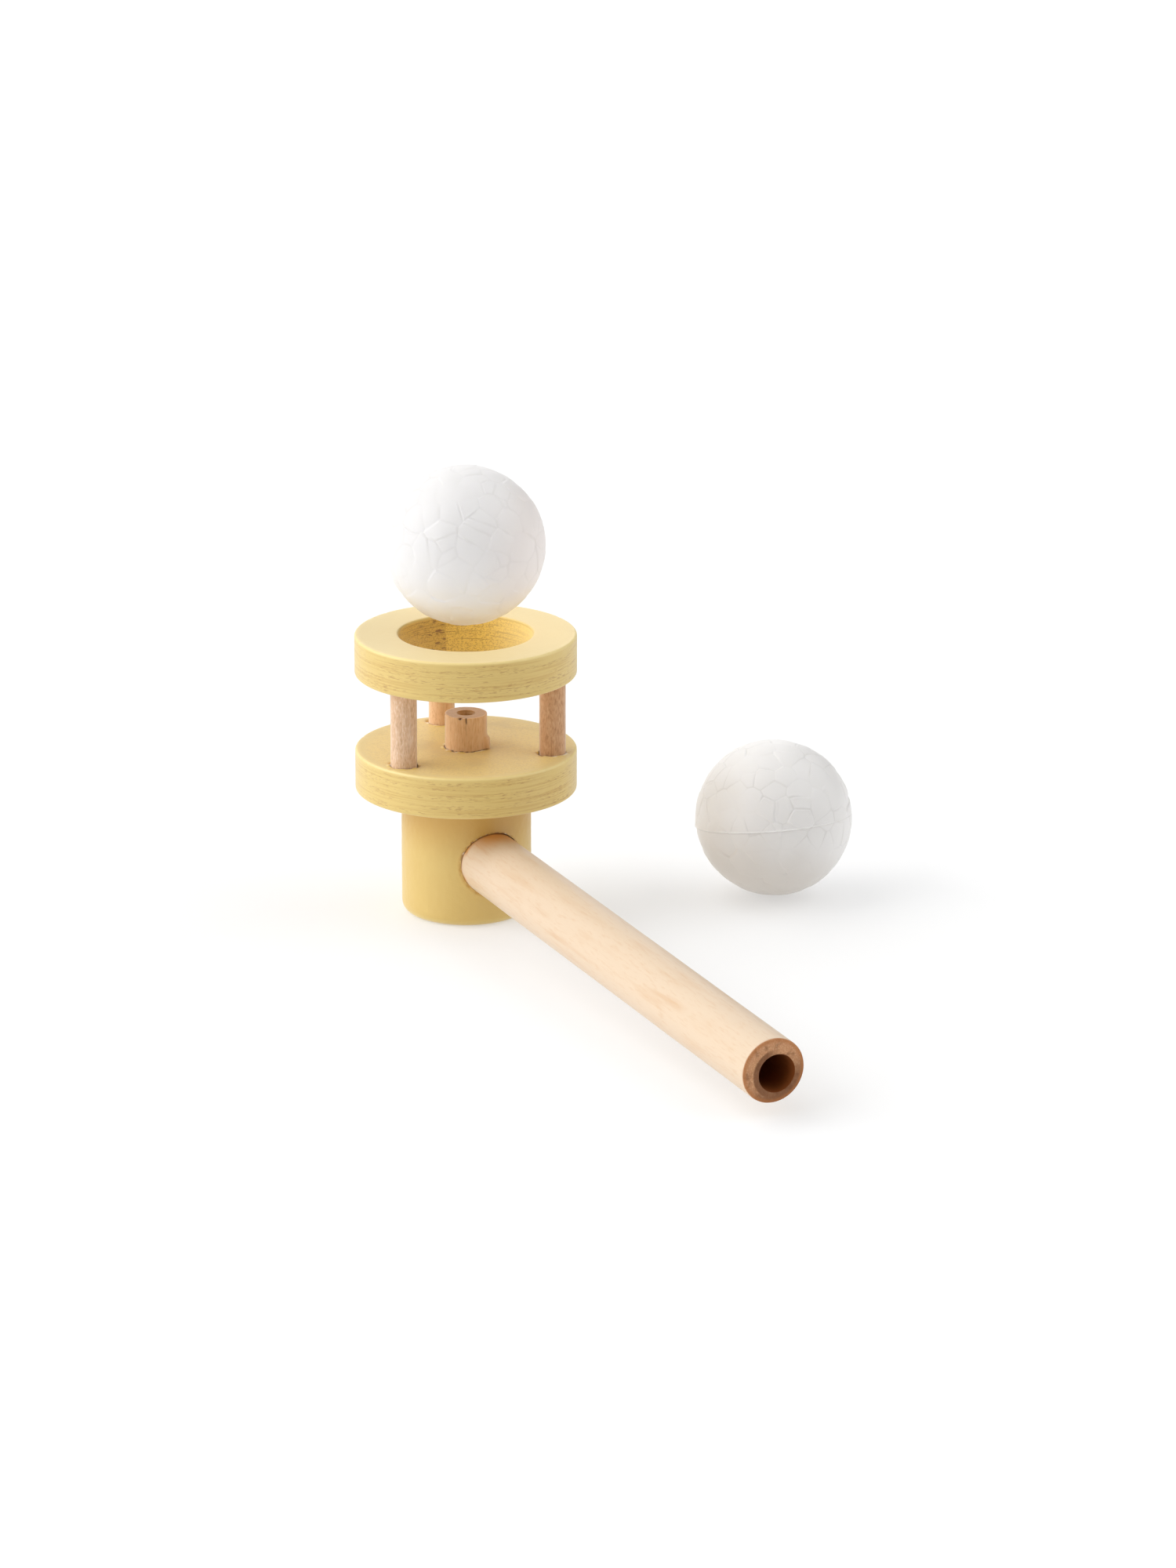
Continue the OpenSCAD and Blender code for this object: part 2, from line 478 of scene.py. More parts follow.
class Outline:
    """Half section of a turned piece, as points at a radius and a height, in the order of the outline."""

    def __init__(self, radius: float, height: float) -> None:
        """Starts the outline at a point."""
        self.points = [self.at(radius, height)]

    @staticmethod
    def at(radius: float, height: float) -> Vector:
        """Returns a point of the section."""
        return Vector((radius * MM, 0.0, height * MM))

    def line(self, radius: float, height: float, spacing: float) -> "Outline":
        """Runs straight to a point, with a point about every spacing, and returns the outline."""
        start, end = self.points[-1], self.at(radius, height)
        steps = max(1, round((end - start).length / (spacing * MM)))
        self.points += [start.lerp(end, k / steps) for k in range(1, steps + 1)]
        return self

    def corner(self, radius: float, height: float) -> "Outline":
        """Runs a quarter round to a point, leaving in the line's direction, and returns the outline."""
        before, start, end = self.points[-2], self.points[-1], self.at(radius, height)
        level = abs(start.x - before.x) > abs(start.z - before.z)
        middle = Vector((start.x, 0.0, end.z)) if level else Vector((end.x, 0.0, start.z))
        for k in range(1, CORNER_STEPS + 1):
            angle = math.pi / 2 * k / CORNER_STEPS
            self.points.append(middle + (start - middle) * math.cos(angle) + (end - middle) * math.sin(angle))
        return self

    def spin(self, steps: int) -> Shape:
        """Turns the outline about Z into a closed shape with the given number of steps round.

        One part of the turn is spun and then copied round, because a long spin is very slow.
        """
        shape = bmesh.new()
        points = [shape.verts.new(point) for point in self.points]
        edges = [shape.edges.new(pair) for pair in zip(points, points[1:])]
        bmesh.ops.spin(shape, geom=points + edges, cent=(0, 0, 0), axis=(0, 0, 1), dvec=(0, 0, 0),
                       angle=math.tau / TURN_PARTS, steps=steps // TURN_PARTS, use_duplicate=False)
        part = shape.verts[:] + shape.edges[:] + shape.faces[:]
        for k in range(1, TURN_PARTS):
            copy = bmesh.ops.duplicate(shape, geom=part)["geom"]
            turned = [item for item in copy if isinstance(item, bmesh.types.BMVert)]
            turn = Matrix.Rotation(math.tau * k / TURN_PARTS, 3, "Z")
            bmesh.ops.rotate(shape, verts=turned, matrix=turn)
        bmesh.ops.remove_doubles(shape, verts=shape.verts[:], dist=MERGE * MM)
        bmesh.ops.recalc_face_normals(shape, faces=shape.faces[:])
        return shape


def positions(points: list[bmesh.types.BMVert]) -> Array:
    """Returns where a shape's points are, one in each row."""
    return np.array([point.co for point in points]) / MM


def refine(shape: Shape, near: Callable[[Array], Array]) -> None:
    """Splits in two each edge whose middle is near something, so that the mesh is finer there.

    Args:
        shape: The shape to refine.
        near: Takes the middles of the edges, one in each row, and tells which are near.
    """
    middles = np.array([(edge.verts[0].co + edge.verts[1].co) / 2 for edge in shape.edges]) / MM
    chosen = [edge for edge, close in zip(shape.edges, near(middles)) if close]
    bmesh.ops.subdivide_edges(shape, edges=chosen, cuts=1, use_grid_fill=True)


def add_cylinder(shape: Shape, radius: float, low: float, high: float, x: float = 0.0, y: float = 0.0,
                 steps: int = 96) -> list[bmesh.types.BMVert]:
    """Adds an upright cylinder to a shape and returns its points."""
    middle = Matrix.Translation((x * MM, y * MM, (low + high) / 2 * MM))
    return bmesh.ops.create_cone(shape, cap_ends=True, segments=steps, radius1=radius * MM,
                                 radius2=radius * MM, depth=(high - low) * MM, matrix=middle)["verts"]


def add_object(name: str, data: bpy.types.ID) -> bpy.types.Object:
    """Puts a mesh, a light or a camera into the scene, at the origin."""
    thing = bpy.data.objects.new(name, data)
    bpy.context.scene.collection.objects.link(thing)
    return thing


def add_shape(name: str, shape: Shape) -> bpy.types.Object:
    """Puts a shape into the scene, as an object at the origin."""
    mesh = bpy.data.meshes.new(name)
    shape.to_mesh(mesh)
    shape.free()
    return add_object(name, mesh)


@dataclass
class Piece:
    """A mesh in the making: a shape, the values that it carries at each point, and where it belongs."""

    name: str
    node: str
    body: Body = Body.TOY
    slot: Slot = Slot.PAINT
    thing: bpy.types.Object = field(init=False)

    def __post_init__(self) -> None:
        """Reads the size of a piece that stands on the Z axis from the frame."""
        low, high = box(self.node)
        self.radius, self.bottom, self.top = high.x, low.z, high.z

    def model(self) -> None:
        """Makes the piece's object. Each piece has its own."""
        raise NotImplementedError

    def form(self, points: Array) -> Surface:
        """Shapes the surface in detail. Each piece has its own."""
        raise NotImplementedError

    def cut(self, shape: Shape) -> None:
        """Takes one or more closed shapes, none of which overlap, out of the piece."""
        cutter = add_shape("cutter", shape)
        drill = self.thing.modifiers.new("drill", "BOOLEAN")
        drill.operation, drill.solver, drill.object = "DIFFERENCE", "EXACT", cutter
        bpy.context.view_layer.update()
        cut = self.thing.evaluated_get(bpy.context.evaluated_depsgraph_get())
        bored = bpy.data.meshes.new_from_object(cut)
        self.thing.modifiers.clear()
        old, self.thing.data = self.thing.data, bored
        bored.name = self.name
        for spare in (old, cutter.data):
            bpy.data.meshes.remove(spare)

    def shape_surface(self) -> None:
        """Moves the piece's points and writes its values, as form() says."""
        mesh = self.thing.data
        flat = np.empty(len(mesh.vertices) * 3, dtype=np.float32)
        mesh.vertices.foreach_get("co", flat)
        moved, values = self.form(flat.astype(float).reshape(-1, 3) / MM)
        mesh.vertices.foreach_set("co", (moved * MM).astype(np.float32).ravel())
        for name, value in values.items():
            layer = mesh.attributes.new(name, "FLOAT", "POINT")
            layer.data.foreach_set("value", value.astype(np.float32))
        mesh.update()

    def dress(self, finish: bpy.types.Material) -> None:
        """Shades the piece smoothly but for its crisp edges, gives it its material and mounts it."""
        mesh = self.thing.data
        mesh.shade_smooth()
        mesh.set_sharp_from_angle(angle=SHARP)
        mesh.materials.clear()
        mesh.materials.append(finish)
        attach(self.thing, self.body.value)
        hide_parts(self.node)
        log.info("%s: %d faces, on body %s", self.name, len(mesh.polygons), self.body.value)

    def build(self, finish: Finish | bpy.types.Material) -> None:
        """Models the piece and dresses it in a finish, or in a material that it shares."""
        self.model()
        self.shape_surface()
        self.dress(finish.material() if isinstance(finish, Finish) else finish)


@dataclass
class Foot:
    """The place where a glued dowel enters a painted face: its gap, its paint crater and its glue."""

    x: float
    y: float
    radius: float
    face: float
    low: float
    high: float
    gap: float = 0.11
    least_gap: float = 0.05
    lip_height: float = 0.17
    crater_depth: float = 0.28
    # How far the paint and the glue reach from the dowel
    reach: float = 2.2
    steps: int = 120

    def around(self, points: Array, size: float, shift: float) -> Array:
        """Returns noise that runs round the dowel and meets itself, with waves of a size."""
        angle = np.arctan2(points[:, 1] - self.y, points[:, 0] - self.x)
        rim = np.stack((self.x + self.radius * np.cos(angle), self.y + self.radius * np.sin(angle),
                        np.full(len(points), self.face)), axis=1)
        return ripple(rim, size, shift)

    def drill(self, shape: Shape) -> None:
        """Adds the dowel's hole to a cutter: a slightly ragged cylinder."""
        made = add_cylinder(shape, self.radius, self.low, self.high, self.x, self.y, self.steps)
        points = positions(made)
        ragged = self.gap * (1 + self.around(points, 1.3, 2.0) + 0.7 * self.around(points, 0.4, 7.0))
        for vertex, at, wide in zip(made, points, np.maximum(self.least_gap, ragged)):
            out = Vector((at[0] - self.x, at[1] - self.y, 0.0)).normalized()
            vertex.co += out * float(wide * MM)

    def away(self, points: Array) -> Array:
        """Returns how far each point lies outside the dowel, seen along it."""
        return np.hypot(points[:, 0] - self.x, points[:, 1] - self.y) - self.radius

    def lift(self, points: Array) -> Array:
        """Returns how far the paint stands up, or sinks, at points beside the dowel."""
        out = self.away(points)
        lip = smooth(-0.15, 0.35, self.around(points, 1.7, 4.0)) * hump(out - 0.42, 0.22)
        crater = smooth(0.1, 0.45, self.around(points, 2.4, 11.0)) * smooth(0.9, 0.2, out)
        return self.lip_height * lip - self.crater_depth * crater

    def stains(self, points: Array) -> tuple[Array, Array, Array]:
        """Returns how much thick paint, bare wood and glue show at points beside the dowel."""
        out = self.away(points)
        near = (np.abs(points[:, 2] - self.face) < 0.7) & (out < self.reach)
        amber = smooth(2.0, 0.3, out) * smooth(0.0, 0.4, self.around(points, 2.4, 11.0))
        bare = smooth(0.3, 0.08, out) * smooth(-0.4, 0.2, self.around(points, 0.8, 9.0))
        glue = smooth(0.75, 0.35, out) * smooth(0.12, 0.32, self.around(points, 1.1, 21.0))
        return 0.55 * amber * near, bare * near, 0.8 * glue * near


@dataclass
class Plate(Piece):
    """A turned and painted plate with a hole through its middle: the lower disc or the cup ring."""

    # The disc's own hole is cut by the nozzle's foot
    hole_radius: float = 2.0
    outer_edge: float = 0.5
    hole_edge: float = 0.1
    top_face: bool = True
    feet: list[Foot] = field(default_factory=list)
    steps: int = 360
    # Grain is 0.1 to 0.3 mm high on the walls, so rows stand this far apart there
    wall_rows: float = 0.1
    face_rows: float = 0.6
    # Moves the plate's patterns, so that two plates differ
    shift: float = 2.0
    # The joint of the two boards crosses the plate in line with this direction, this far to its side
    joint_way: Way = (0.4323, 0.9017, 0.0)
    joint_at: float = -4.0
    # The side of the wall where the pores stay open, away from the thicker coat
    open_way: Way = (0.98, 0.17, 0.0)
    grain_height: float = 0.026
    pore_depth: float = 0.01
    nick_depth: float = 0.08

    @property
    def face(self) -> float:
        """The height of the face that the dowels enter."""
        return self.top if self.top_face else self.bottom

    def model(self) -> None:
        """Turns the plate, refines it round the dowels and drills their holes."""
        edge, lip = self.outer_edge, self.hole_edge
        inner, outer, low, high = self.hole_radius, self.radius, self.bottom, self.top
        turned = Outline(inner + lip, low).line(outer - edge, low, self.face_rows).corner(outer, low + edge)
        turned.line(outer, high - edge, self.wall_rows).corner(outer - edge, high)
        turned.line(inner + lip, high, self.face_rows).corner(inner, high - lip)
        turned.line(inner, low + lip, self.wall_rows).corner(inner + lip, low)
        shape = turned.spin(self.steps)
        for reach in (2.0, 1.0):
            refine(shape, lambda at: (np.abs(at[:, 2] - self.face) < ON_FACE) & np.any(
                [(foot.away(at) > -0.3) & (foot.away(at) < reach) for foot in self.feet], axis=0))
        self.thing = add_shape(self.name, shape)
        holes = bmesh.new()
        for foot in self.feet:
            foot.drill(holes)
        self.cut(holes)

    def form(self, points: Array) -> Surface:
        """Roughens the walls with their grain, nicks the top edge and raises the paint round the dowels."""
        up, reach = points[:, 2], from_axis(points)
        outer = reach > (self.hole_radius + self.radius) / 2
        depth = np.minimum(up - self.bottom, self.top - up) - np.where(outer, self.outer_edge, self.hole_edge)
        near = np.abs(reach - np.where(outer, self.radius, self.hole_radius)) < 0.12
        wall = smooth(-0.2, 0.35, depth) * near
        on = wall > 0
        grain = 0.6 * ripple(points, (14, 14, 0.5), 1.0 + self.shift, on)
        grain += 0.5 * ripple(points, (3, 3, 0.3), 5.0 + self.shift, on)
        dashes = smooth(0.2, 0.42, ripple(points, (1.5, 1.5, 0.2), 9.0 + self.shift, on))
        pores = wall * outer * smooth(-0.8, 0.3, points @ np.array(self.open_way) / reach)
        arris = smooth(1.0, 0.3, self.top - up) * smooth(1.0, 0.3, self.radius - reach)
        nick = smooth(0.32, 0.6, ripple(points, 0.8, 23.0 + self.shift, arris > 0)) * arris
        out = 0.02 * ripple(points, (12, 12, 30), 17.0 + self.shift) - SKIN
        out += wall * self.grain_height * grain - pores * self.pore_depth * dashes - self.nick_depth * nick
        moved = move_out(points, np.where(outer, 1.0, -1.0) * (outer | on) * out)
        moved[:, 2] -= 0.05 * nick
        flat = np.abs(up - self.face) < ON_FACE
        rise = sum(foot.lift(points) for foot in self.feet)
        moved[:, 2] += rise * flat * (1.0 if self.top_face else -1.0)
        amber, bare, glue = np.max([foot.stains(points) for foot in self.feet], axis=0)
        # Painted shade: the coat is deeper on the disc's top, under the ring. Painted highlights: it is paler
        # on the ring's top, on the right of its hole and along the plates' top outer edges
        painted_disc_shade = 0.06 * flat * self.top_face * smooth(self.radius - 0.8, self.radius - 3, reach)
        painted_hole_highlight = wall * ~outer * smooth(2, 12, points @ np.array(self.joint_way))
        # Painted sheen on the ring's top, in the glue's colour
        pale = (up > self.top - ON_FACE) * (not self.top_face)
        # A painted highlight along each plate's top outer edge
        painted_edge_highlight = hump(self.top - up - 0.15, 0.3) * hump(self.radius - reach - 0.15, 0.4) * outer
        # The bored wall's colour is also laid on the disc's top as painted shade, and thinned where the
        # hole's wall has its painted highlight
        return moved, {"wall": wall, "pores": pores, "worn": 0.6 * painted_edge_highlight + 0.5 * painted_hole_highlight, "bare": bare,
                       "cavity": np.maximum(wall * ~outer * (1 - 0.3 * painted_hole_highlight), 5 * painted_disc_shade),
                       "amber": np.maximum(amber, painted_disc_shade), "glue": np.maximum(glue, 0.2 * pale),
                       **self.bored(points, wall * ~outer)}

    def bored(self, points: Array, cavity: Array) -> dict[str, Array]:
        """Returns what the bored wall reads: the darker board beside the joint, and its burnt patch."""
        beyond = points @ np.array(self.joint_way) - self.joint_at
        level = (self.top - points[:, 2]) / (self.top - self.bottom)
        board = smooth(0.05, -0.05, beyond) * cavity
        return {"board": board, "burnt": board * smooth(-7, -2, beyond) * smooth(0.0, 0.12, level)}


@dataclass
class PipeLine:
    """The pipe's axis and sizes, worked out from the frame."""

    # Where the pipe ends in the block, measured along it from the block's axis
    inner_end: float = 4.0
    # A rod that cuts has fine rows on this much of its end
    fine_end: float = 8.0
    rod_rows: float = 0.4
    rod_steps: int = 140

    def __post_init__(self) -> None:
        """Works the axis out from the pipe's box and from the bore that the record states."""
        low, high = box("blow_pipe")
        bore = next(mount for mount in frame["record"]["mounts"] if mount["name"] == "pipe_bore")
        along = Vector(bore["axis"])
        self.radius = (high.y - low.y) / 2
        self.droop = math.asin(-along.z)
        self.reach = (high.x - self.radius * -along.z) / along.x
        self.height = low.z + self.reach * -along.z + self.radius * along.x
        turn = Matrix.Rotation(math.pi / 2 + self.droop, 4, "Y")
        self.place = Matrix.Translation((0, 0, self.height * MM)) @ turn
        self.bore_radius = bore["dims"]["r_mm"]
        centre = self.place.inverted() @ Vector(bore["pos_m"])
        self.bore_centre = (centre.x / MM, centre.y / MM, 0.0)

    def local(self, points: Array) -> Array:
        """Returns points in the pipe's own frame, where +Z runs out of the mouth and +X is down."""
        return (points - np.array(self.place.translation) / MM) @ np.array(self.place.to_3x3())

    def world(self, points: Array) -> Array:
        """Returns points of the pipe's own frame in the toy's frame."""
        return points @ np.array(self.place.to_3x3()).T + np.array(self.place.translation) / MM

    def rod(self, radius: float, start: float, end: float, centre: Way = (0.0, 0.0, 0.0),
            ragged: float = 0.0) -> Shape:
        """Makes a rod along the pipe's axis, to cut with.

        Args:
            radius: The rod's radius.
            start: Where it starts along the pipe.
            end: Where it ends.
            centre: Its middle, across the pipe's axis.
            ragged: How far its wall wanders in and out.

        Returns:
            The rod's shape.
        """
        turned = Outline(0.0, start).line(radius, start, radius)
        turned.line(radius, max(start, end - self.fine_end), self.fine_end)
        shape = turned.line(radius, end, self.rod_rows).line(0.0, end, radius).spin(self.rod_steps)
        points = positions(shape.verts) * np.array((1, 1, 0))
        wander = ragged * (ripple(points, 1.5, 3.0) + 0.6 * ripple(points, 0.6, 8.0))
        for vertex, out, far in zip(shape.verts, points, wander):
            vertex.co += Vector((out / radius * far + centre) * MM)
        bmesh.ops.transform(shape, matrix=self.place, verts=shape.verts[:])
        return shape


@dataclass
class StemBlock(Piece):
    """The turned and painted block that stands on the table and takes the pipe and the nozzle."""

    pipe: PipeLine = field(default_factory=PipeLine)
    foot_round: float = 2.1
    steps: int = 300
    rows: float = 0.3
    face_rows: float = 2.0
    air_radius: float = 2.5
    seat_radius: float = 4.05
    # The pipe sits low and to one side in its hole, so the gap is open over it
    socket_gap: float = 0.1
    socket_shift: Way = (-0.08, 0.04, 0.0)
    socket_ragged: float = 0.05
    wave_height: float = 0.015
    pimple_height: float = 0.034
    # The paint swells at the socket's edge and is chipped there
    swell: float = 0.04
    chip_depth: float = 0.14

    def model(self) -> None:
        """Turns the block and drills the pipe's socket, the air way and the nozzle's seat."""
        radius, foot, pipe = self.radius, self.foot_round, self.pipe
        turned = Outline(0.0, 0.0).line(radius - foot, 0.0, self.face_rows).corner(radius, foot)
        turned.line(radius, self.top, self.rows).line(0.0, self.top, self.face_rows)
        shape = turned.spin(self.steps)
        refine(shape, lambda at: (at[:, 0] > 0) & (radius - from_axis(at) < 0.1)
               & (np.abs(self.beside_pipe(at)) < 1.3))
        self.thing = add_shape(self.name, shape)
        socket = pipe.radius + self.socket_gap
        self.cut(pipe.rod(socket, pipe.inner_end, 2 * radius, self.socket_shift, self.socket_ragged))
        self.cut(pipe.rod(self.air_radius, 0.0, pipe.inner_end + PAST))
        for wide, low, high in ((self.air_radius, pipe.height - self.air_radius, self.top),
                                (self.seat_radius, box("nozzle")[0].z, self.top + PAST)):
            hole = bmesh.new()
            add_cylinder(hole, wide, low, high)
            self.cut(hole)

    def beside_pipe(self, points: Array) -> Array:
        """Returns how far each point lies outside the pipe's surface."""
        return from_axis(self.pipe.local(points)) - self.pipe.radius

    def form(self, points: Array) -> Surface:
        """Gives the wall the turning's faint waves, chips and thick paint at the pipe's socket, and painted
        shade under the disc.
        """
        reach, up = from_axis(points), points[:, 2]
        wall = (self.radius - reach < 0.1) & (up > self.foot_round / 2)
        rounded = (up < self.foot_round) & (reach > self.radius - self.foot_round - 0.1)
        painted = wall | rounded | (up < 0.01) | (up > self.top - 0.01)
        out = self.wave_height * ripple(points, (3, 3, 12), 2.0, wall) - SKIN
        out += self.pimple_height * ripple(points, (0.9, 0.9, 1.1), 6.0, wall)
        beside = self.beside_pipe(points)
        socket = wall & (points[:, 0] > 0) & (beside < 1.6)
        chip = smooth(0.1, 0.45, ripple(points, 0.8, 4.0, socket)) * smooth(0.6, 0.15, beside)
        out += socket * (self.swell * smooth(1.0, 0.4, beside) - self.chip_depth * chip)
        above = smooth(-0.2, 0.7, -self.pipe.local(points)[:, 0] / self.pipe.radius)
        edge = smooth(0.5, 0.15, beside) * socket * (0.1 + 0.9 * above)
        bare = np.where(painted, edge * smooth(-0.1, 0.25, ripple(points, 0.7, 12.0, socket)), 1.0)
        # Painted shade: an amber tone on the whole wall, growing towards the top, under the disc
        painted_block_shade = wall * (0.18 + 0.5 * smooth(self.top - 12, self.top - 3, up))
        amber = np.maximum(0.6 * socket * smooth(1.0, 0.2, beside), painted_block_shade)
        glue = 0.6 * edge * smooth(0.15, 0.35, ripple(points, 0.6, 19.0, socket))
        return move_out(points, wall * out), {"bare": 0.85 * bare, "amber": amber, "glue": glue}


@dataclass
class Post(Piece):
    """One of the three dowels that carry the ring. It is milled a little out of round."""

    slot: Slot = Slot.POST
    steps: int = 120
    rows: float = 0.3
    end_rows: float = 0.5
    chamfer: float = 0.35
    flat_depth: float = 0.03
    fibre_height: float = 0.012

    def __post_init__(self) -> None:
        """Reads the post's place and size from the frame."""
        super().__post_init__()
        low, high = box(self.node)
        self.radius = (high.x - low.x) / 2
        self.x, self.y = (low.x + high.x) / 2, (low.y + high.y) / 2

    def model(self) -> None:
        """Turns the dowel with its two chamfered ends and puts it in its place."""
        radius, cut = self.radius, self.chamfer
        turned = Outline(0.0, self.bottom).line(radius - cut, self.bottom, self.end_rows)
        turned.line(radius, self.bottom + cut, cut).line(radius, self.top - cut, self.rows)
        turned.line(radius - cut, self.top, cut).line(0.0, self.top, self.end_rows)
        shape = turned.spin(self.steps)
        bmesh.ops.translate(shape, verts=shape.verts[:], vec=(self.x * MM, self.y * MM, 0))
        self.thing = add_shape(self.name, shape)

    def form(self, points: Array) -> Surface:
        """Gives the dowel its flats and its fibres, and marks its two sawn ends."""
        centre = np.array((self.x, self.y, 0.0))
        own = points - centre
        side = from_axis(own) > self.radius / 2
        depth = self.flat_depth * (ripple(points, (2, 2, 8), 1.0, side) - 1)
        depth += self.fibre_height * ripple(points, (0.3, 0.3, 2), 5.0, side)
        ends = np.minimum(points[:, 2] - self.bottom, self.top - points[:, 2])
        return move_out(own, side * depth) + centre, {"end": smooth(0.3, 0.1, ends)}


@dataclass
class JetNozzle(Piece):
    """The short bored dowel that turns the breath into a jet, with a split and a chipped rim."""

    slot: Slot = Slot.NOZZLE
    bore_radius: float = 1.7
    steps: int = 320
    # Rows are fine on the wall and the top that show, and coarse in the block
    rows: float = 0.14
    top_rows: float = 0.16
    bore_rows: float = 0.3
    hidden_rows: float = 1.5
    rim: float = 0.12
    # The split runs down the side that faces the camera, a little to the right of its middle
    split_angle: float = math.radians(-24)
    split_width: float = 0.11
    split_depth: float = 0.22
    split_length: float = 1.3
    # A chip in the top edge, to the left of the split
    chip_angle: float = math.radians(-41)
    chip_width: float = 0.32
    chip_depth: float = 0.45
    # A sliver of wood stands out low on the side towards the spare ball
    sliver_angle: float = math.radians(50)
    sliver_out: float = 0.7
    sliver_height: float = 2.7

    @property
    def stands_on(self) -> float:
        """The top of the disc that the nozzle stands out of."""
        return box("lower_disc")[1].z

    def model(self) -> None:
        """Turns the nozzle as a tube with a broken edge at its top."""
        inner, outer, rim = self.bore_radius, self.radius, self.rim
        low, high = self.bottom, self.top
        turned = Outline(inner, low).line(outer, low, 0.6)
        turned.line(outer, self.stands_on - 0.5, self.hidden_rows)
        turned.line(outer, high - rim, self.rows).corner(outer - rim, high)
        turned.line(inner + rim, high, self.top_rows).corner(inner, high - rim)
        turned.line(inner, high - 4, self.bore_rows).line(inner, low, self.hidden_rows)
        self.thing = add_shape(self.name, turned.spin(self.steps))

    def across(self, points: Array, angle: float) -> Array:
        """Returns how far each point lies round the wall from a given angle."""
        apart = np.arctan2(points[:, 1], points[:, 0]) - angle
        return ((apart + math.pi) % math.tau - math.pi) * self.radius

    def form(self, points: Array) -> Surface:
        """Gives the nozzle its fibres, its split, its chip, its sawn top and the sliver at its foot."""
        reach, up = from_axis(points), points[:, 2]
        down, above = self.top - up, up - self.stands_on
        side = reach > (self.radius + self.bore_radius) / 2
        near = smooth(0.6, 0.1, self.radius - reach)
        wander = 0.12 * ripple(points * np.array((0, 0, 1)), (1, 1, 1.2), 3.0, side)
        split = hump(self.across(points, self.split_angle) - wander, self.split_width) * near
        split *= smooth(self.split_length, self.split_length - 0.5, down) + 0.22 * smooth(5.5, 1, down)
        chip = hump(self.across(points, self.chip_angle), self.chip_width) * near
        chip *= smooth(self.chip_depth, 0.0, down)
        depth = 0.012 * ripple(points, (0.35, 0.35, 2.5), 2.0, side) - SKIN
        depth += 0.04 * ripple(points, (2.5, 2.5, 12), 7.0, side)
        depth -= self.split_depth * split + 0.3 * chip
        sliver = smooth(1.5, 0.5, np.abs(self.across(points, self.sliver_angle)))
        sliver *= smooth(self.sliver_height, self.sliver_height - 0.9, above) * (above > -0.3)
        depth += self.sliver_out * sliver * (0.75 + 0.25 * smooth(self.sliver_height, 0.0, above))
        frayed = smooth(-0.1, 0.4, ripple(points, 0.5, 31.0, side))
        depth += 0.1 * frayed * hump(above, 0.25) * (above > -0.2)
        moved = move_out(points, side * depth)
        top = down < 0.02
        moved[:, 2] += 0.015 * top * (ripple(points, 0.4, 30.0, top) - 1) - 0.25 * chip
        end = smooth(0.3, 0.05, down) * smooth(0.05, 0.35, self.radius - reach)
        # Painted shade that grows deeper into the bore
        bore = smooth(self.bore_radius + 0.15, self.bore_radius, reach) * smooth(0.1, 3, down)
        foot = hump(above - 0.02, 0.14) * smooth(-0.25, 0.3, ripple(points, 0.7, 41.0, side)) * side
        # Dark marks in the split, the chip and the joint at the foot, and the bore's painted shade
        dirt_and_shade = np.max((split * 0.9, chip * 1.3, bore * 0.6, foot * 0.9), axis=0)
        return moved, {"end": end, "crack": np.minimum(1.0, dirt_and_shade)}


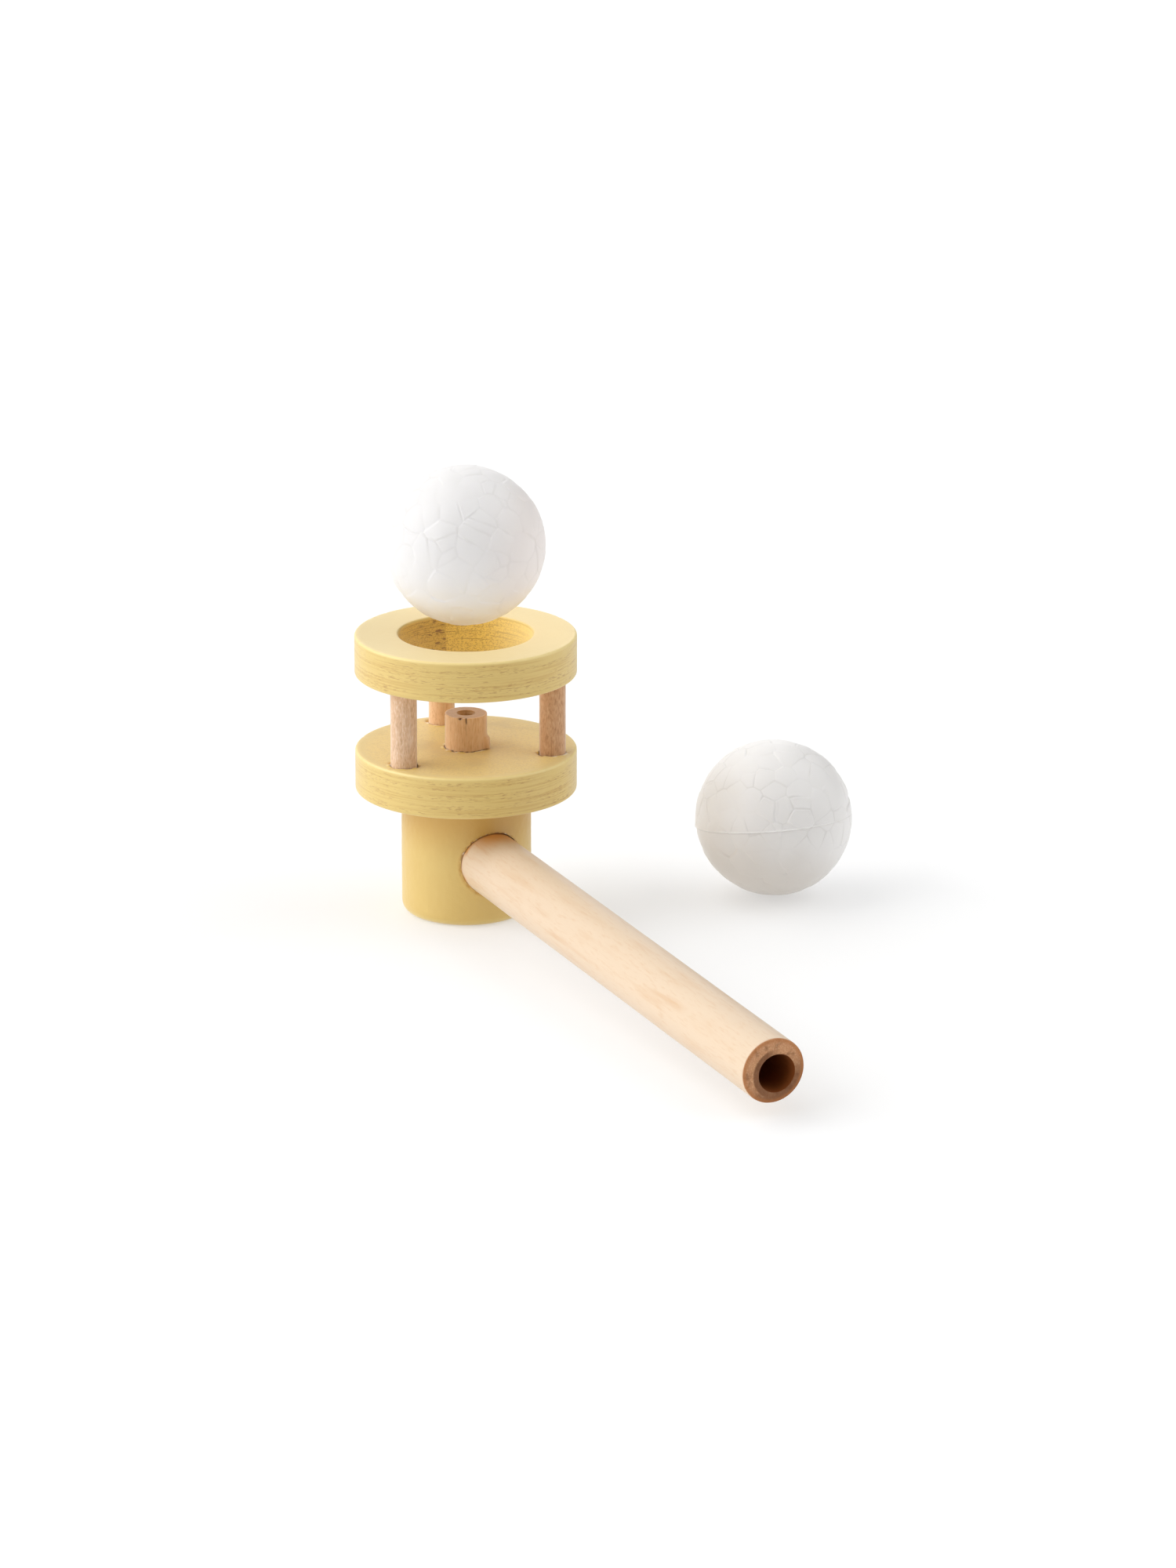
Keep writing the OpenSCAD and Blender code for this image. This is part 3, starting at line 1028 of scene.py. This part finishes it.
@dataclass
class BlowPipe(Piece):
    """The long bored dowel that is blown through."""

    slot: Slot = Slot.PIPE
    pipe: PipeLine = field(default_factory=PipeLine)
    steps: int = 180
    rows: float = 0.9
    mouth_rows: float = 0.2
    mouth_round: float = 0.4
    bore_ragged: float = 0.03
    wave_height: float = 0.02
    saw_depth: float = 0.03

    def model(self) -> None:
        """Turns the rod, with finer rows on its mouth, puts it on its axis and bores it."""
        line, soft, rows = self.pipe, self.mouth_round, self.mouth_rows
        turned = Outline(0.0, line.inner_end).line(line.radius, line.inner_end, 1.0)
        turned.line(line.radius, line.reach - 2, self.rows).line(line.radius, line.reach - soft, rows)
        turned.corner(line.radius - soft, line.reach).line(0.0, line.reach, rows)
        shape = turned.spin(self.steps)
        bmesh.ops.transform(shape, matrix=line.place, verts=shape.verts[:])
        self.thing = add_shape(self.name, shape)
        start, end = line.inner_end - PAST, line.reach + PAST
        self.cut(line.rod(line.bore_radius, start, end, line.bore_centre, self.bore_ragged))

    def form(self, points: Array) -> Surface:
        """Gives the pipe its soft waves and its mouth the saw's marks, and marks its mouth and its bore."""
        line = self.pipe
        at = line.local(points)
        down, aside = at[:, 0] / line.radius, at[:, 1] / line.radius
        reach, along = from_axis(at), line.reach - at[:, 2]
        off = at - np.array(line.bore_centre)
        bore = from_axis(off) - line.bore_radius
        side = reach > line.radius - 0.1
        moved = move_out(at, side * (self.wave_height * ripple(at, (1.6, 1.6, 15), 2.0, side) - 0.025))
        face = along < ON_FACE
        sawn = self.saw_depth * (1 + ripple(at, (0.45, 0.45, 1), 9.0, face))
        moved[:, 2] -= face * (sawn + 0.12 * smooth(0.3, 0.0, bore))
        end = smooth(0.32, 0.12, along) * (bore > -0.2)
        # A dark ring hugs the bore, away from the spare ball and below, and painted shade darkens the lower
        # part of the face and its side towards the spare ball
        round_bore = off / np.maximum(from_axis(off), MERGE)[:, None]
        hugging = np.maximum(smooth(-0.3, 0.7, -round_bore[:, 1]), 0.7 * smooth(0.2, 0.9, round_bore[:, 0]))
        ring = smooth(1.3, 0.9, bore) * hugging
        ring = np.maximum(ring, smooth(-0.3, 0.9, 0.8 * down + 0.5 * aside))
        edge = smooth(1.1, 0.3, line.radius - reach)
        # Painted shade inside the bore, which is also rough
        inside = ((bore < 0.06) & (along > 0.15)).astype(float)
        # Painted shade and painted yellow bounce light: the pipe is orange near the block, mostly above and
        # on the spare ball's side, and a thin glue line runs round it at the block
        clear = from_axis(points) - box("stem_block")[1].x
        glued = smooth(7, 0.5, clear) * smooth(0.1, 1.0, 0.5 * aside - down)
        glued = 0.9 * np.maximum(glued, smooth(0.4, 0.15, clear))
        return line.world(moved), {"end": end, "ring": ring, "edge": edge, "bore": inside, "glued": glued,
                                   "rough": np.maximum(end, inside)}


@dataclass
class FoamBall(Piece):
    """A ball moulded from steamed foam beads, which meet in flattened polygons."""

    slot: Slot = Slot.FOAM
    seed: int = 4
    beads: int = 190
    # The beads push each other apart this many times and this hard, and settle evenly
    pushes: int = 6
    push: float = 0.00012
    # This share of the beads is small, by so much, and the others grow or shrink by less
    small_share: float = 0.13
    small: float = 1.9
    uneven: float = 1.2
    # How far a bead's face stands out or in, how far it tilts, and how much flatter it is than the ball
    bead_height: float = 0.034
    bead_tilt: float = 0.017
    bead_flat: float = 0.3
    # Beads show least on this side, where the skin is smoothest
    smooth_side: Way = (0.1, -0.3, -1.0)
    # The middle of the warm stain
    stain_side: Way = (0.6, 0.8, -0.1)
    # Where the two halves of the mould met: its normal, its offset, and how far the flash stands out
    parting: Way | None = None
    parting_at: float = -0.34
    flash: float = 0.28
    flash_side: Way = (0.45, -0.89, 0.0)
    # How far the halves of the mould are out of line
    step: float = 0.14
    # How far the skin lies inside the ball's full size, which only its highest spots reach
    skin: float = 0.06
    groove_depth: float = 0.03
    groove_width: float = 0.28
    rim_height: float = 0.08
    wrinkle_height: float = 0.03
    # Edges this close to a border or to the parting line are split
    finest: float = 0.4
    pits: int = 26

    def __post_init__(self) -> None:
        """Reads the ball's place and size from the frame."""
        low, high = box(self.node)
        self.centre = (np.array(low) + np.array(high)) / 2
        self.radius = (high.z - low.z) / 2

    def scatter(self, draw: random.Random, count: int) -> Array:
        """Returns unit directions spread at random over the ball, one in each row."""
        return unit(np.array([[draw.gauss(0, 1) for _ in range(3)] for _ in range(count)]))

    def place_beads(self) -> None:
        """Spreads the beads evenly over the ball and makes a few of them small."""
        draw = random.Random(self.seed)
        ways = self.scatter(draw, self.beads)
        for _ in range(self.pushes):
            apart = ways[:, None, :] - ways[None, :, :]
            gap = np.linalg.norm(apart, axis=2) + np.eye(self.beads)
            ways = unit(ways + self.push * (apart / gap[:, :, None] ** 4).sum(axis=1))
        self.beds = ways
        self.growth = np.array([-self.small ** 2 if draw.random() < self.small_share
                                else draw.uniform(-1, 1) * self.uneven ** 2 for _ in range(self.beads)])

    def borders(self, ways: Array) -> tuple[Array, Array, Array]:
        """Finds the bead that each point lies in, its nearest neighbour, and how far off their border is.

        Args:
            ways: Unit direction of each point.

        Returns:
            The bead's number, the neighbour's number, and the distance to their border.
        """
        reach = (2 - 2 * ways @ self.beds.T) * self.radius ** 2 - self.growth[None, :]
        pair = np.argpartition(reach, 1, axis=1)[:, :2]
        values = np.take_along_axis(reach, pair, axis=1)
        order = np.argsort(values, axis=1)
        bead, other = np.take_along_axis(pair, order, axis=1).T
        values = np.take_along_axis(values, order, axis=1)
        between = np.linalg.norm(self.beds[bead] - self.beds[other], axis=1) * self.radius
        return bead, other, (values[:, 1] - values[:, 0]) / (2 * between)

    def over_parting(self, ways: Array) -> Array:
        """Returns how far above the parting line each point lies, or endlessly far where there is none."""
        if self.parting is None:
            return np.full(len(ways), np.inf)
        return facing(ways, self.parting) * self.radius - self.parting_at

    def near(self, points: Array) -> Array:
        """Tells which points lie near a border of a bead or near the parting line."""
        ways = unit(points)
        return (self.borders(ways)[2] < self.finest) | (np.abs(self.over_parting(ways)) < self.finest)

    def model(self) -> None:
        """Makes the ball's mesh, finer along the borders of its beads and along its parting line."""
        self.place_beads()
        shape = bmesh.new()
        bmesh.ops.create_icosphere(shape, subdivisions=7, radius=self.radius * MM)
        refine(shape, self.near)
        if self.parting is not None:
            refine(shape, lambda at: np.abs(self.over_parting(at / self.radius)) < 0.3)
        self.thing = add_shape(self.name, shape)

    def bed(self, which: Array, ways: Array) -> Array:
        """Returns the height of a bead's own flattened face at each point."""
        draw = random.Random(self.seed + 1)
        height = np.array([draw.gauss(0, self.bead_height) for _ in range(self.beads)])
        tilt = np.array([[draw.gauss(0, self.bead_tilt) for _ in range(3)] for _ in range(self.beads)])
        away = (ways - self.beds[which]) * self.radius
        sag = self.bead_flat * (away ** 2).sum(axis=1) / (2 * self.radius)
        return height[which] + (tilt[which] * away).sum(axis=1) - sag

    def form(self, points: Array) -> Surface:
        """Flattens the beads, sinks or rims their borders, pits the skin and raises the flash."""
        ways = unit(points)
        spots = ways * self.radius
        wander = 0.25 * np.stack([ripple(spots, 2.2, 40.0 + k) for k in range(3)], axis=1) / self.radius
        bead, other, border = self.borders(ways + wander)
        blend = 0.5 * np.exp(-border / 0.16)
        high = self.bed(bead, ways) * (1 - blend) + self.bed(other, ways) * blend
        shown = smooth(-0.4, 0.1, ripple(spots, 8, self.seed * 1.7))
        shown *= smooth(0.6, -0.05, facing(ways, self.smooth_side))
        rimmed = smooth(-0.05, 0.25, ripple(spots, 5, self.seed * 2.3 + 5)) * shown
        groove = hump(border, self.groove_width) * shown
        high += self.rim_height * hump(border - 0.3, 0.14) * rimmed - self.groove_depth * groove
        wrinkles = ripple(spots, 1.1, 3.0) * smooth(0.0, 0.4, ripple(spots, 6, 8.0))
        high += self.wrinkle_height * (wrinkles + ripple(spots, 11, 15.0))
        draw = random.Random(self.seed + 2)
        for way in self.scatter(draw, self.pits):
            wide = draw.uniform(0.12, 0.25)
            away = np.linalg.norm(ways - way, axis=1) * self.radius
            high += draw.choice((-0.07, -0.04, 0.05)) * hump(away, wide)
        seam = groove * (0.5 + 0.5 * smooth(-0.2, 0.3, ripple(spots, 4, 28.0)))
        if self.parting is not None:
            off = self.over_parting(ways)
            side = smooth(-0.35, 0.75, facing(ways, self.flash_side))
            high += side * (self.flash * hump(off - 0.08, 0.12) - self.step * smooth(0.04, -0.04, off))
            high -= 0.04 * (1 - side) * hump(off, 0.1)
            seam *= 1 - hump(off - 0.08, 0.2)
            # A painted shadow lies just below the flash, on the flash's side
            seam = np.max((seam, (1 - side) * hump(off, 0.1), side * hump(off + 0.16, 0.1)), axis=0)
        reach = np.minimum(self.radius + high - self.skin, self.radius - MERGE)
        spread = facing(ways, self.stain_side) + 0.08 * ripple(spots, 5, 33.0)
        return ways * reach[:, None] + self.centre, {"seam": seam, "stain": smooth(0.1, 1.1, spread)}


@dataclass
class Studio:
    """The camera at the photograph's angle, a white floor and soft lights."""

    eye: Vector = field(default_factory=lambda: Vector((1032.81, -469.62, 378.12)) * MM)
    aim: Vector = field(default_factory=lambda: Vector((9.90, 20.65, 24.54)) * MM)
    roll: float = math.radians(0.12)
    lens: float = 145.04
    film: float = 36.0
    floor_size: float = 8000.0
    sky: float = 0.2
    # The share of a light that the net lets through
    net: float = 0.72

    def camera(self) -> None:
        """Puts the camera where the photograph was taken from."""
        data = bpy.data.cameras.new("camera")
        data.lens, data.sensor_fit, data.sensor_height = self.lens, "VERTICAL", self.film
        data.clip_start, data.clip_end = 10 * MM, 50_000 * MM
        thing = add_object("camera", data)
        look = (self.aim - self.eye).to_track_quat("-Z", "Y").to_matrix().to_4x4()
        thing.matrix_world = Matrix.Translation(self.eye) @ look @ Matrix.Rotation(self.roll, 4, "Z")
        bpy.context.scene.camera = thing

    def floor(self, finish: Finish) -> None:
        """Lays the floor under the toy."""
        shape = bmesh.new()
        bmesh.ops.create_grid(shape, x_segments=4, y_segments=4, size=self.floor_size * MM / 2)
        thing = add_shape("floor", shape)
        thing.data.materials.append(finish.material())

    def soft_light(self, name: str, azimuth: float, elevation: float, power: float,
                   spread: float) -> bpy.types.Object:
        """Adds a soft light that comes from a direction.

        Args:
            name: Its name.
            azimuth: Where it stands round the toy, in degrees: 0 is behind it, and 90 is on the right.
            elevation: How high it stands, in degrees.
            power: Its strength.
            spread: How wide it looks from the toy, in degrees.

        Returns:
            The light.
        """
        ahead = self.aim - self.eye
        behind = Vector((ahead.x, ahead.y, 0.0)).normalized()
        right = Vector((behind.y, -behind.x, 0.0))
        turn, rise = math.radians(azimuth), math.radians(elevation)
        level = (behind * math.cos(turn) + right * math.sin(turn)) * math.cos(rise)
        data = bpy.data.lights.new(name, "SUN")
        data.energy, data.angle = power, math.radians(spread)
        thing = add_object(name, data)
        way = level + Vector((0, 0, math.sin(rise)))
        thing.rotation_euler = way.to_track_quat("Z", "Y").to_euler()
        return thing

    def netted_light(self, name: str, azimuth: float, elevation: float, power: float,
                     spread: float) -> None:
        """Adds a soft light that a net weakens on the floating ball, which throws no shadow in it.

        It takes what soft_light() takes, and its power is what reaches everything but that ball.
        """
        for part, share, state in (("open", 1.0, "EXCLUDE"), ("netted", self.net, "INCLUDE")):
            light = self.soft_light(name + "_" + part, azimuth, elevation, power * share, spread)
            self.link_ball(light, "receiver_collection", state)
            self.link_ball(light, "blocker_collection", "EXCLUDE")

    def link_ball(self, light: bpy.types.Object, use: str, state: str) -> None:
        """Takes the floating ball into a light, or leaves it out, as what it shines on or what blocks it."""
        group = bpy.data.collections.new(light.name + "_" + use)
        group.objects.link(bpy.data.objects[NETTED])
        setattr(light.light_linking, use, group)
        for entry in group.collection_objects:
            entry.light_linking.link_state = state

    def light(self) -> None:
        """Lights the toy with white screens: a low one on the left, and weaker ones round and above it."""
        scene = bpy.context.scene
        scene.view_settings.view_transform = "Standard"
        scene.world = bpy.data.worlds.new("sky")
        scene.world.use_nodes = True
        colour, strength = scene.world.node_tree.nodes["Background"].inputs[:2]
        colour.default_value, strength.default_value = linear("#FFFFFF"), self.sky
        self.netted_light("key", -104, 14, 2.6, 75)
        self.netted_light("left_top", -75, 48, 1.0, 60)
        self.soft_light("backdrop", -15, 18, 0.6, 55)
        self.soft_light("right_fill", 90, 30, 1.1, 70)
        self.soft_light("top", 0, 88, 0.8, 90)

    def build(self) -> None:
        """Sets up the camera, the floor and the lights, once the floating ball is there."""
        self.camera()
        self.floor(OpalSheet("opal acrylic sheet, extruded, lit from below", 0.9, 1.49))
        self.light()


def main() -> None:
    """Builds every sub-assembly and the studio."""
    logging.basicConfig(level=logging.INFO, format="%(message)s")
    pipe = PipeLine()
    paint = SatinPaint("satin acrylic paint, brushed on turned beech", 0.5, 1.5).material()
    StemBlock("turned_block", "stem_block", pipe=pipe).build(paint)

    woods = {
        "post_front": RawDowel("pinkish beech dowel, milled", wood="#DCB692", fleck="#B88F6A",
                               light="#F6E4D2"),
        "post_side": RawDowel("brown beech dowel, milled"),
        "post_back": RawDowel("golden beech dowel, milled", wood="#EAC096", fleck="#C29264",
                              light="#F2D4AA"),
    }
    posts = [Post(node + "_dowel", node) for node in woods]
    nozzle = JetNozzle("bored_nozzle", "nozzle")
    disc_top, ring_low = box("lower_disc")[1].z, box("cup_ring")[0].z
    in_disc = [Foot(post.x, post.y, post.radius, disc_top, post.bottom, disc_top + PAST) for post in posts]
    in_disc.append(Foot(0.0, 0.0, nozzle.radius, disc_top, 0.0, disc_top + PAST))
    in_ring = [Foot(post.x, post.y, post.radius, ring_low, ring_low - PAST, post.top) for post in posts]
    Plate("turned_disc", "lower_disc", feet=in_disc).build(paint)
    Plate("turned_ring", "cup_ring", hole_radius=12.6, hole_edge=0.4, feet=in_ring, top_face=False,
          shift=9.0).build(paint)
    for post in posts:
        post.build(woods[post.node])
    nozzle.build(RawDowel("alder dowel, milled and bored", 0.75, wood="#E4B888", fleck="#C08C58",
                          light="#F0D2A8", end="#B48040", fibre=0.3, length=1.4, strength=0.4))
    BlowPipe("bored_pipe", "blow_pipe", pipe=pipe).build(
        WaxedPipe("maple dowel, bored and waxed", 0.38, 1.48, droop=pipe.droop))
    FoamBall(NETTED, "floating_ball", Body.FLOATING).build(
        MouldedFoam("white polystyrene foam, steam moulded"))
    FoamBall("spare_foam_ball", "spare_ball", Body.SPARE, seed=11, groove_width=0.12, skin=0.12,
             parting=(-0.17, -0.013, 0.985), stain_side=(0.35, -0.45, -1.0)).build(
        MouldedFoam("aged polystyrene foam, steam moulded", bead="#EAE8E6", warm="#C2B7A8", blush=0.5,
                    lines=0.25))
    Studio().build()


if __name__ == "__main__":
    main()
